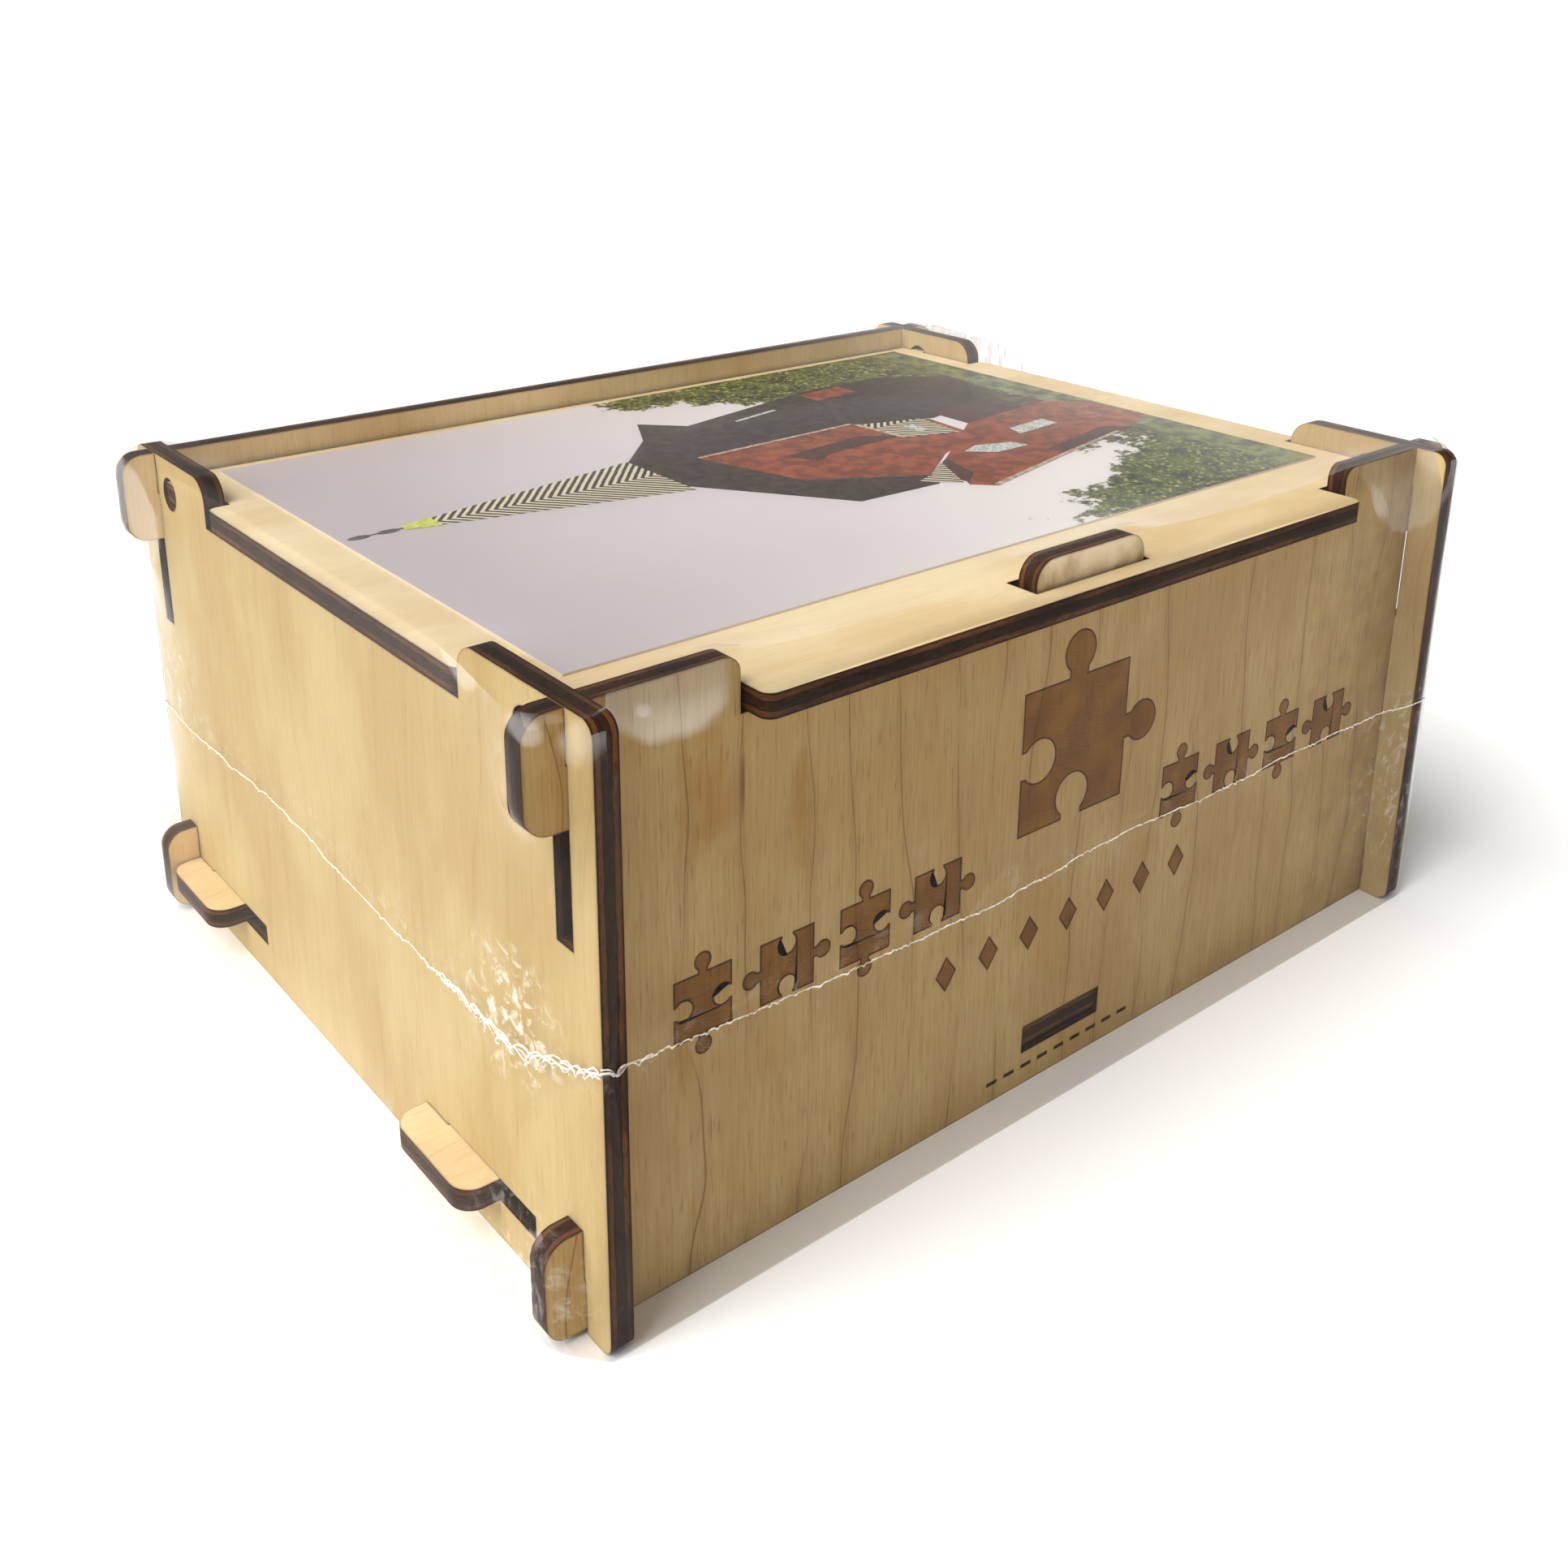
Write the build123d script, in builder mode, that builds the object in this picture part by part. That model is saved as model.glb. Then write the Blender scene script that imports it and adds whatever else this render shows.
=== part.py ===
from build123d import *
import math
import os

# A boxed jigsaw puzzle: a laser-cut plywood box whose panels hook into slots in each other,
# a lid that swings on two tongues cut in one with it, a picture sheet on the lid, loose
# wooden jigsaw pieces inside, and a clear film over the whole box.
# X runs along the front, the front faces -Y, and the box stands on Z = 0.
# The origin is at the bottom centre.

# Sheet and box
sheet = 3.0  # thickness of the plywood
box_width = 153.4  # over the outer faces of the two side panels
box_depth = 125.6  # over the edges of the side panels
box_height = 75.5  # to the tops of the ears
end_setback = 4.85  # front and back panels stand back from the side panels' edges
floor_height = 5.6  # underside of the floor panel
lid_recess = 3.75  # from the ear tops down to the lid's top face

# Clearances
fit_gap = 0.1  # each side of a laser-cut joint
lid_rest_gap = 0.1  # between the lid and the rims that it rests on
lid_side_gap = 0.4  # lid beside the side panels
lid_ear_gap = 0.8  # lid beside the ears of the front and side panels
lid_slot_gap = 0.5  # lid slot around the front panel's tongue
film_gap = 0.3  # clear film away from what it covers

# Hooks that lock the panels together
hook_reach = 5.0  # how far a hook stands out of the side panel
hook_corner = 3.0
end_hook_height = 13.2
upper_neck_height = 7.0
upper_slot_height = 21.0
lower_neck_height = 6.5
lower_hook_lift = 0.8  # lower hooks stay off the table
floor_neck_length = 12.2
floor_hook_overlap = 5.7  # floor hook past the end of its slot
floor_slot_length = 20.4
front_floor_slot_end = 35.5  # from the side panel's front edge

# Ears and tongues
ear_depth = 26.5  # raised ends of the side panels
ear_width = 18.4  # raised ends of the front panel
ear_corner = 3.5
edge_corner = 2.0
front_tongue_width = 20.1
floor_tongue_width = 14.9
floor_tongue_recess = 0.6
floor_tongue_slot_height = 4.1

# Lid
pivot_hole = 5.0
pivot_tongue = 3.5
pivot_inset = 12.6  # from the side panels' edge to the pivot's centre
pivot_end_gap = 0.3  # tongue short of the outer face
lid_tail = 4.0  # lid behind the pivot's centre
lid_overhang = 3.5  # flap in front of the front panel
lid_corner = 1.5
tongue_swing_gap = 1.5  # behind the front tongue, so that the lid can swing
print_thickness = 0.3
print_side_margin = 8.2  # from the box's side faces
print_front_margin = 18.5  # from the side panels' front edges
print_back_margin = 11.1

# Clear film
film = 0.3
film_lift = 0.6
film_hinge_gap = 9.0  # film on the lid stops this far in front of the pivot

# Jigsaw pieces
piece_columns = 8
piece_rows = 5
piece_width = 17.2
piece_height = 19.2
knob_radius = 2.7
knob_neck = 1.6  # half of the neck's width
knob_rise = 0.8
heap_columns = 5
heap_rows = 3
heap_margin = 1.0

half_width = box_width / 2
half_depth = box_depth / 2
inner_x = half_width - sheet
end_outer_y = half_depth - end_setback
end_inner_y = end_outer_y - sheet
rim_height = box_height - lid_recess - sheet - lid_rest_gap
floor_top = floor_height + sheet
lid_bottom = rim_height + lid_rest_gap
lid_top = lid_bottom + sheet
pivot_y = half_depth - pivot_inset
pivot_z = lid_bottom + sheet / 2
slot_width = sheet + 2 * fit_gap
upper_hook_bottom = box_height - end_hook_height
upper_slot_top = upper_hook_bottom + upper_neck_height + fit_gap
lower_notch_top = lower_hook_lift + lower_neck_height + fit_gap
floor_hook_length = floor_neck_length + floor_hook_overlap
back_floor_slot_end = end_inner_y - floor_hook_overlap - fit_gap
floor_slot_ends = [front_floor_slot_end - half_depth, back_floor_slot_end]
hook_start_x = half_width + fit_gap
hook_end_x = half_width + hook_reach

os.makedirs("parts", exist_ok=True)


def save(part, name):
    part.label = name
    export_step(part, f"parts/{name}.step")


def block(x0, x1, y0, y1, corner=0, corners=None, mode=Mode.ADD):
    """A rectangle between two corners; corners picks which of its vertices are rounded."""
    with BuildSketch(mode=Mode.PRIVATE) as patch:
        with Locations(((x0 + x1) / 2, (y0 + y1) / 2)):
            Rectangle(abs(x1 - x0), abs(y1 - y0))
        if corner:
            chosen = patch.vertices() if corners is None else corners(patch.vertices())
            fillet(chosen, corner)
    add(patch.sketch, mode=mode)


def top_right(vertices):
    return vertices.sort_by(Axis.Y)[-2:].sort_by(Axis.X)[-1:]


def top_left(vertices):
    return vertices.sort_by(Axis.Y)[-2:].sort_by(Axis.X)[:1]


# Side panels: the profile lies in Y-Z, the same at the front and the back.
def side_panel(name, inner_face_x):
    with BuildPart() as panel:
        with BuildSketch(Plane.YZ.offset(inner_face_x)) as profile:
            block(-half_depth, half_depth, 0, rim_height, edge_corner, lambda v: v.sort_by(Axis.Y)[:2])
            for end in (-1, 1):
                outer_y = end * half_depth
                ear_y = end * (half_depth - ear_depth)
                slot_y = end * (end_outer_y - sheet / 2)
                low_y, high_y = sorted((outer_y, ear_y))
                block(low_y, high_y, rim_height - ear_corner, box_height)
                tops = profile.vertices().group_by(Axis.Y)[-1]
                outer_corner = tops.sort_by(lambda v: abs(v.X - outer_y))[:1]
                fillet(outer_corner, edge_corner)
                tops = profile.vertices().group_by(Axis.Y)[-1]
                inner_corner = tops.sort_by(lambda v: abs(v.X - ear_y))[:1]
                fillet(inner_corner, ear_corner)
                slot_low = slot_y - slot_width / 2
                slot_high = slot_y + slot_width / 2
                block(slot_low, slot_high, upper_slot_top - upper_slot_height, upper_slot_top,
                      mode=Mode.SUBTRACT)
                block(slot_low, slot_high, -sheet, lower_notch_top, mode=Mode.SUBTRACT)
                with Locations((end * pivot_y, pivot_z)):
                    Circle(pivot_hole / 2, mode=Mode.SUBTRACT)
            for slot_end in floor_slot_ends:
                block(slot_end - floor_slot_length, slot_end, floor_height - fit_gap,
                      floor_top + fit_gap, mode=Mode.SUBTRACT)
        extrude(amount=sheet)
    save(panel.part, name)


side_panel("side_panel_left", -half_width)
side_panel("side_panel_right", inner_x)


# Front and back panels: the profile lies in X-Z, with two hooks at each end.
def outer_corners(side):
    return lambda vertices: vertices.sort_by(lambda v: -side * v.X)[:2]


def end_hooks():
    for side in (-1, 1):
        for bottom, neck_height in ((upper_hook_bottom, upper_neck_height),
                                    (lower_hook_lift, lower_neck_height)):
            block(side * (inner_x - sheet), side * (hook_end_x - hook_corner),
                  bottom, bottom + neck_height)
            block(side * hook_start_x, side * hook_end_x,
                  bottom, bottom + end_hook_height, hook_corner, outer_corners(side))


def end_panel(name, outer_face_y, rim, ear, tongue):
    with BuildPart() as panel:
        with BuildSketch(Plane.XZ.offset(-outer_face_y)):
            end_hooks()
            block(-inner_x, inner_x, 0, rim)
            if ear:
                block(-inner_x, -inner_x + ear, rim - ear_corner, box_height, edge_corner, top_right)
                block(inner_x - ear, inner_x, rim - ear_corner, box_height, edge_corner, top_left)
            if tongue:
                block(-tongue / 2, tongue / 2, rim - ear_corner, box_height, hook_corner,
                      lambda v: v.sort_by(Axis.Y)[-2:])
            block(-floor_tongue_width / 2 - 2 * fit_gap, floor_tongue_width / 2 + 2 * fit_gap,
                  floor_height + sheet / 2 - floor_tongue_slot_height / 2,
                  floor_height + sheet / 2 + floor_tongue_slot_height / 2, mode=Mode.SUBTRACT)
        extrude(amount=-sheet)
    save(panel.part, name)


end_panel("front_panel", -end_outer_y, rim_height, ear_width, front_tongue_width)
end_panel("back_panel", end_inner_y, box_height, 0, 0)

# Floor panel: its hooks go through the side panels and slide back, its tongues fill the
# slots low in the front and back panels.
with BuildPart() as floor_panel:
    with BuildSketch(Plane.XY.offset(floor_height)):
        block(-inner_x, inner_x, -end_inner_y, end_inner_y)
        tongue_end = end_outer_y - floor_tongue_recess
        block(-floor_tongue_width / 2, floor_tongue_width / 2, -tongue_end, tongue_end)
        for side in (-1, 1):
            for slot_end in floor_slot_ends:
                neck_back = slot_end - fit_gap
                neck_front = neck_back - floor_neck_length
                block(side * (inner_x - sheet), side * (hook_end_x - hook_corner),
                      neck_front, neck_back)
                block(side * hook_start_x, side * hook_end_x,
                      neck_front, neck_front + floor_hook_length, hook_corner, outer_corners(side))
    extrude(amount=sheet)
save(floor_panel.part, "floor_panel")

# Lid: a plate between the side panels, wings over their lowered rims, a flap over the front
# panel's rim, a slot for the front tongue and a tongue at each side as the pivot.
plate_x = inner_x - lid_side_gap
plate_front_y = -end_inner_y + lid_ear_gap
flap_x = inner_x - ear_width - lid_ear_gap
flap_front_y = -end_outer_y - lid_overhang
wing_y = half_depth - ear_depth - lid_ear_gap
slot_x = front_tongue_width / 2 + lid_slot_gap
with BuildPart() as lid:
    with BuildSketch(Plane.XY.offset(lid_bottom)):
        block(-plate_x, plate_x, plate_front_y, pivot_y + lid_tail)
        block(-flap_x, flap_x, flap_front_y, plate_front_y + sheet, lid_corner,
              lambda v: v.sort_by(Axis.Y)[:2])
        block(-half_width, half_width, -wing_y, wing_y, lid_corner)
        block(-half_width + pivot_end_gap, half_width - pivot_end_gap,
              pivot_y - pivot_tongue / 2, pivot_y + pivot_tongue / 2)
        block(-slot_x, slot_x, -end_outer_y - lid_slot_gap, -end_inner_y + tongue_swing_gap,
              mode=Mode.SUBTRACT)
    extrude(amount=sheet)
save(lid.part, "lid")

print_x = half_width - print_side_margin
with BuildPart() as lid_print:
    with BuildSketch(Plane.XY.offset(lid_top)):
        block(-print_x, print_x, -half_depth + print_front_margin, half_depth - print_back_margin)
    extrude(amount=print_thickness)
save(lid_print.part, "lid_print")


# Clear film: a sleeve drawn round the hooks and the side panels' edges, and a sheet over the
# ears that lifts with the lid. The film is cut along the ears and in front of the hinge.
def film_outline(grow):
    hook_x = hook_end_x + film_gap + grow
    hook_y = end_outer_y + film_gap + grow
    edge_x = half_width + film_gap + grow
    edge_y = half_depth + film_gap + grow
    with BuildLine(mode=Mode.PRIVATE) as outline:
        Polyline(
            (-edge_x, -edge_y), (edge_x, -edge_y), (hook_x, -hook_y), (hook_x, hook_y),
            (edge_x, edge_y), (-edge_x, edge_y), (-hook_x, hook_y), (-hook_x, -hook_y),
            close=True,
        )
    return make_face(outline.line, mode=Mode.PRIVATE)


with BuildPart() as film_sleeve:
    with BuildSketch(Plane.XY.offset(film_lift)):
        add(film_outline(film))
        add(film_outline(0), mode=Mode.SUBTRACT)
    extrude(amount=box_height - film_lift)
save(film_sleeve.part, "film_sleeve")

film_back_y = pivot_y - film_hinge_gap
with BuildPart() as film_lid:
    with BuildSketch(Plane.XY.offset(box_height + film_gap)):
        add(film_outline(film))
        block(-box_width, box_width, film_back_y, box_depth, mode=Mode.SUBTRACT)
    extrude(amount=film)
save(film_lid.part, "film_lid")


# Jigsaw pieces: each edge is straight at the picture's border, or carries a knob that fits
# the socket of the piece beside it.
def piece_edge(start, end, knob):
    """One edge, from start to end; knob is 1 to the right of it, -1 to the left, 0 for none."""
    along = (end - start).normalized()
    across = along.rotate(Axis.Z, -90) * knob
    middle = (start + end) * 0.5
    if knob == 0:
        Line(start, end)
        return
    neck_in = middle - along * knob_neck
    neck_out = middle + along * knob_neck
    head_centre = knob_rise + math.sqrt(knob_radius**2 - knob_neck**2)
    Line(start, neck_in)
    Line(neck_in, neck_in + across * knob_rise)
    ThreePointArc(
        neck_in + across * knob_rise,
        middle + across * (head_centre + knob_radius),
        neck_out + across * knob_rise,
    )
    Line(neck_out + across * knob_rise, neck_out)
    Line(neck_out, end)


def knob_side(column, row, upright):
    """Which way the knob of a shared edge points, in a pattern that doesn't look regular."""
    return 1 if (column * 7 + row * 5 + column * row * 3 + 4 * upright) % 5 > 1 else -1


def piece_face(column, row):
    x = piece_width / 2
    y = piece_height / 2
    corners = [Vector(-x, -y), Vector(x, -y), Vector(x, y), Vector(-x, y)]
    below = 0 if row == 0 else -knob_side(column, row, 0)
    right = 0 if column == piece_columns - 1 else knob_side(column + 1, row, 1)
    above = 0 if row == piece_rows - 1 else knob_side(column, row + 1, 0)
    left = 0 if column == 0 else -knob_side(column, row, 1)
    with BuildLine(mode=Mode.PRIVATE) as outline:
        for number, knob in enumerate((below, right, above, left)):
            piece_edge(corners[number], corners[(number + 1) % 4], knob)
    return make_face(outline.line, mode=Mode.PRIVATE)


# The pieces lie loose in flat layers, each turned its own way.
heap_step_x = (2 * inner_x - 2 * heap_margin) / heap_columns
heap_step_y = (2 * end_inner_y - 2 * heap_margin) / heap_rows
heap_layer = heap_columns * heap_rows
for number in range(piece_columns * piece_rows):
    picked = number * 17 % (piece_columns * piece_rows)
    place = number % heap_layer
    layer = number // heap_layer
    heap_x = (place % heap_columns - (heap_columns - 1) / 2) * heap_step_x
    heap_y = (place // heap_columns - (heap_rows - 1) / 2) * heap_step_y
    sway_y = 3.0 * math.sin(2.4 * number)
    turn = 180 * (number % 2) + 10 * math.sin(1.9 * number + layer)
    with BuildPart() as piece:
        with BuildSketch(Plane((heap_x, heap_y + sway_y, floor_top + sheet * layer))) as flat:
            add(piece_face(picked % piece_columns, picked // piece_columns), rotation=turn)
        extrude(amount=sheet)
    save(piece.part, f"puzzle_piece_{number + 1:02d}")
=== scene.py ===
import bpy
import bmesh
import math
import numpy as np
from mathutils import Matrix, Vector


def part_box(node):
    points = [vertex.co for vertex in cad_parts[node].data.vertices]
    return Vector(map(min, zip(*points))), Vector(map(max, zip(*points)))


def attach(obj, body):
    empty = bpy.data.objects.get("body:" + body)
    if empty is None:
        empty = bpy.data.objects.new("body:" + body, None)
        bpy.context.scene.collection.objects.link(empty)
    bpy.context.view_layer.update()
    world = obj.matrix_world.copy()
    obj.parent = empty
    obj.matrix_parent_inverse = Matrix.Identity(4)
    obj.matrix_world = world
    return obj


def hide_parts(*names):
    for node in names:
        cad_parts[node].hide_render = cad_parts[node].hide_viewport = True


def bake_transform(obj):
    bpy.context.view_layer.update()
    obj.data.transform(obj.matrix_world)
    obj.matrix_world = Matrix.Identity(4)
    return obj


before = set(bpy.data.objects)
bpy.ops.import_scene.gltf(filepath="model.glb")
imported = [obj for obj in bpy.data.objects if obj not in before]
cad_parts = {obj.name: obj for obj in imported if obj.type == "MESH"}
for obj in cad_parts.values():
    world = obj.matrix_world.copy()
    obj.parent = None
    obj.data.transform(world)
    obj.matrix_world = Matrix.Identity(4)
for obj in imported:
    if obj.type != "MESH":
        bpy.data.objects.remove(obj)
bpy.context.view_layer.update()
print("frame loaded")

mm = 0.001
leftLow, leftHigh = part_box("side_panel_left")
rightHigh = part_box("side_panel_right")[1]
frontLow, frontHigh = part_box("front_panel")
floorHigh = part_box("floor_panel")[1]
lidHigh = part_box("lid")[1]
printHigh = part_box("lid_print")[1]
hookX = frontHigh.x
panelX = rightHigh.x
panelY = rightHigh.y
sheetThickness = leftHigh.x - leftLow.x
frontFace = frontLow.y
boxTop = leftHigh.z


# Node helpers
def inputOf(tree, target, value):
    # value is a socket, or a plain number or colour
    if isinstance(value, bpy.types.NodeSocket):
        tree.links.new(value, target)
    else:
        target.default_value = value


def mathNode(tree, operation, a, b=0.0, clamp=False):
    node = tree.nodes.new("ShaderNodeMath")
    node.operation = operation
    node.use_clamp = clamp
    inputOf(tree, node.inputs[0], a)
    inputOf(tree, node.inputs[1], b)
    return node.outputs[0]


def times(tree, a, b):
    return mathNode(tree, "MULTIPLY", a, b)


def plus(tree, a, b, clamp=False):
    return mathNode(tree, "ADD", a, b, clamp)


def minus(tree, a, b):
    return mathNode(tree, "SUBTRACT", a, b)


def vectorMath(tree, operation, a, b=(0, 0, 0)):
    node = tree.nodes.new("ShaderNodeVectorMath")
    node.operation = operation
    inputOf(tree, node.inputs[0], a)
    inputOf(tree, node.inputs[1], b)
    return node.outputs["Value"] if operation in ("DOT_PRODUCT", "LENGTH", "DISTANCE") else node.outputs[0]


def combine(tree, x, y, z):
    node = tree.nodes.new("ShaderNodeCombineXYZ")
    for socket, value in zip(node.inputs, (x, y, z)):
        inputOf(tree, socket, value)
    return node.outputs[0]


def separate(tree, vector):
    node = tree.nodes.new("ShaderNodeSeparateXYZ")
    tree.links.new(vector, node.inputs[0])
    return node.outputs


def noise(tree, vector, scale=1.0, detail=2.0, rough=0.5, warp=0.0):
    node = tree.nodes.new("ShaderNodeTexNoise")
    tree.links.new(vector, node.inputs["Vector"])
    node.inputs["Scale"].default_value = scale
    node.inputs["Detail"].default_value = detail
    node.inputs["Roughness"].default_value = rough
    node.inputs["Distortion"].default_value = warp
    return node.outputs["Fac"]


def ramp(tree, value, low, high, start=0.0, end=1.0):
    node = tree.nodes.new("ShaderNodeMapRange")
    node.interpolation_type = "SMOOTHSTEP"
    inputOf(tree, node.inputs["Value"], value)
    node.inputs["From Min"].default_value = low
    node.inputs["From Max"].default_value = high
    node.inputs["To Min"].default_value = start
    node.inputs["To Max"].default_value = end
    return node.outputs["Result"]


def mixColour(tree, amount, a, b, blend="MIX"):
    node = tree.nodes.new("ShaderNodeMix")
    node.data_type = "RGBA"
    node.blend_type = blend
    inputOf(tree, node.inputs["Factor"], amount)
    inputOf(tree, node.inputs["A"], a)
    inputOf(tree, node.inputs["B"], b)
    return node.outputs["Result"]


def bump(tree, height, distance, strength):
    node = tree.nodes.new("ShaderNodeBump")
    node.inputs["Strength"].default_value = strength
    node.inputs["Distance"].default_value = distance
    tree.links.new(height, node.inputs["Height"])
    return node.outputs["Normal"]


def millimetres(tree):
    # the object's own position in millimetres
    position = vectorMath(tree, "SCALE", tree.nodes.new("ShaderNodeTexCoord").outputs["Object"])
    position.node.inputs["Scale"].default_value = 1 / mm
    return position


def facingAlong(tree, axis):
    # how far the surface faces along an axis, from -1 to 1
    return separate(tree, tree.nodes.new("ShaderNodeTexCoord").outputs["Normal"])[axis]


def distanceTo(tree, position, spot):
    # distance from a spot, with its axes stretched as the spot says
    stretched = vectorMath(tree, "MULTIPLY", position, spot["stretch"])
    return vectorMath(tree, "DISTANCE", stretched, tuple(a * b for a, b in zip(spot["at"], spot["stretch"])))


def newGroup(name, takes, gives):
    group = bpy.data.node_groups.new(name, "ShaderNodeTree")
    kinds = {"vector": "NodeSocketVector", "value": "NodeSocketFloat", "colour": "NodeSocketColor"}
    for socketName, kind in takes:
        group.interface.new_socket(socketName, in_out="INPUT", socket_type=kinds[kind])
    for socketName, kind in gives:
        group.interface.new_socket(socketName, in_out="OUTPUT", socket_type=kinds[kind])
    return group, group.nodes.new("NodeGroupInput").outputs, group.nodes.new("NodeGroupOutput").inputs


def useGroup(tree, group, **values):
    node = tree.nodes.new("ShaderNodeGroup")
    node.node_tree = group
    for name, value in values.items():
        inputOf(tree, node.inputs[name], value)
    return node.outputs


def newMaterial(name):
    material = bpy.data.materials.new(name)
    material.use_nodes = True
    tree = material.node_tree
    tree.nodes.clear()
    out = tree.nodes.new("ShaderNodeOutputMaterial")
    return material, tree, out


def principled(tree, out):
    shader = tree.nodes.new("ShaderNodeBsdfPrincipled")
    tree.links.new(shader.outputs[0], out.inputs["Surface"])
    return shader


def colour(red, green, blue):
    # everyday 0-255 colour to the linear values that shaders take
    def linear(part):
        part /= 255
        return part / 12.92 if part <= 0.04045 else ((part + 0.055) / 1.055) ** 2.4
    return (linear(red), linear(green), linear(blue), 1.0)


# Shared effects
# Birch veneer: Vector is in millimetres as (across the grain, through the sheet, along the grain).
# clear and brown are tints of the sheets, and the back's tint is lifted as painted light on its shaded inner
# face; drift bends the growth lines and ringRate spaces them.
veneer = {
    "pale": colour(226, 206, 166),
    "warm": colour(212, 186, 140),
    "growth": colour(168, 128, 82),
    "fleck": colour(146, 110, 70),
    "line": colour(142, 102, 60),
    "clear": (0.68, 0.64, 0.49, 1),
    "brown": (0.62, 0.53, 0.35, 1),
    "paintedLightBack": (1.1, 1.07, 1.0, 1),
    "drift": 17.0,
    "ringRate": 0.78,
}


def makeVeneer():
    group, takes, gives = newGroup(
        "birchVeneer",
        [("Vector", "vector"), ("Seed", "value"), ("Figure", "value")],
        [("Color", "colour"), ("Height", "value")],
    )
    across, through, along = separate(group, takes["Vector"])
    shifted = plus(group, through, times(group, takes["Seed"], 37.0))

    def grainNoise(acrossScale, alongScale, detail, rough=0.5):
        # noise drawn out along the grain
        stretched = combine(group, times(group, across, acrossScale), shifted,
                            times(group, along, alongScale))
        return noise(group, stretched, 1.0, detail, rough)

    bent = plus(group, across, times(group, grainNoise(0.035, 0.018, 2.0), veneer["drift"]))
    rings = mathNode(group, "SINE", times(group, bent, veneer["ringRate"]))
    thin = times(group, ramp(group, rings, 0.993, 0.9995), 0.85)
    ringLine = plus(group, thin, times(group, ramp(group, rings, 0.5, 1.0), 0.22))
    presence = ramp(group, grainNoise(0.11, 0.02, 1.0), 0.34, 0.56)
    ringMask = times(group, times(group, ringLine, presence), takes["Figure"])
    fibres = grainNoise(2.6, 0.09, 3.0, 0.6)
    pores = grainNoise(3.4, 0.24, 1.0)
    cloud = grainNoise(0.06, 0.03, 3.0, 0.55)
    tone = mixColour(group, ramp(group, cloud, 0.35, 0.66), veneer["pale"], veneer["warm"])
    share = plus(group, 0.12, times(group, takes["Figure"], 0.88))
    drawn = times(group, times(group, ramp(group, fibres, 0.38, 0.72), 0.3), share)
    tone = mixColour(group, drawn, tone, veneer["growth"])
    tone = mixColour(group, times(group, ringMask, 0.62), tone, veneer["line"])
    specks = times(group, times(group, ramp(group, pores, 0.6, 0.72), 0.42), share)
    tone = mixColour(group, specks, tone, veneer["fleck"])
    group.links.new(tone, gives["Color"])
    height = minus(group, fibres, times(group, ramp(group, pores, 0.64, 0.78), 0.8))
    group.links.new(height, gives["Height"])
    return group


# Laser-burnt edge of the sheet: Layer runs from -1 to 1 through the thickness.
burnt = {
    "outerPly": colour(94, 58, 29),
    "core": colour(58, 34, 18),
    "glueLine": colour(26, 14, 7),
    "char": colour(30, 16, 9),
    "scorch": colour(104, 66, 34),
}
woodSpecular = 0.1


def makeBurntEdge():
    group, takes, gives = newGroup(
        "burntEdge",
        [("Vector", "vector"), ("Layer", "value")],
        [("Color", "colour"), ("Height", "value")],
    )
    depth = mathNode(group, "ABSOLUTE", takes["Layer"])
    wander = noise(group, takes["Vector"], 0.5, 2.0)
    edge = plus(group, depth, times(group, minus(group, wander, 0.5), 0.3))
    streak = noise(group, takes["Vector"], 1.7, 4.0, 0.65)
    soot = noise(group, takes["Vector"], 0.16, 3.0)
    inner = mixColour(group, ramp(group, streak, 0.4, 0.7), burnt["core"], burnt["glueLine"])
    outer = mixColour(group, ramp(group, streak, 0.46, 0.74), burnt["outerPly"], burnt["core"])
    tone = mixColour(group, ramp(group, edge, 0.36, 0.46), inner, outer)
    glue = times(group, ramp(group, edge, 0.3, 0.4), ramp(group, edge, 0.4, 0.5, 1.0, 0.0))
    tone = mixColour(group, times(group, glue, 0.8), tone, burnt["glueLine"])
    tone = mixColour(group, times(group, ramp(group, depth, 0.74, 0.93), 0.85), tone, burnt["char"])
    tone = mixColour(group, times(group, ramp(group, soot, 0.4, 0.64), 0.7), tone, burnt["char"])
    group.links.new(tone, gives["Color"])
    group.links.new(streak, gives["Height"])
    return group


# Darkening of a face right beside its cut edge.
def makeScorch():
    group, takes, gives = newGroup("scorchLine", [("Vector", "vector")], [("Mask", "value")])
    rounded = group.nodes.new("ShaderNodeBevel")
    rounded.samples = 6
    rounded.inputs["Radius"].default_value = 0.5 * mm
    flat = group.nodes.new("ShaderNodeNewGeometry")
    turn = vectorMath(group, "DOT_PRODUCT", rounded.outputs["Normal"], flat.outputs["True Normal"])
    patchy = noise(group, takes["Vector"], 0.35, 2.0)
    beside = ramp(group, turn, 0.9, 0.995, 1.0, 0.0)
    group.links.new(times(group, beside, ramp(group, patchy, 0.2, 0.7, 0.45, 1.0)), gives["Mask"])
    return group


veneerGroup = makeVeneer()
burntGroup = makeBurntEdge()
scorchGroup = makeScorch()
print("shared effects made")


# Plywood
def layerOf(tree, height, middle, layerHeight):
    # place in one sheet's thickness, from -1 to 1
    sheet = sheetThickness / mm
    if layerHeight is None:
        offset = minus(tree, height, middle / mm)
    else:
        # stacked pieces: the height within one sheet's thickness
        inLayer = minus(tree, height, layerHeight / mm)
        offset = minus(tree, mathNode(tree, "MODULO", inLayer, sheet), sheet / 2)
    return mathNode(tree, "DIVIDE", offset, sheet / 2)


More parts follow.
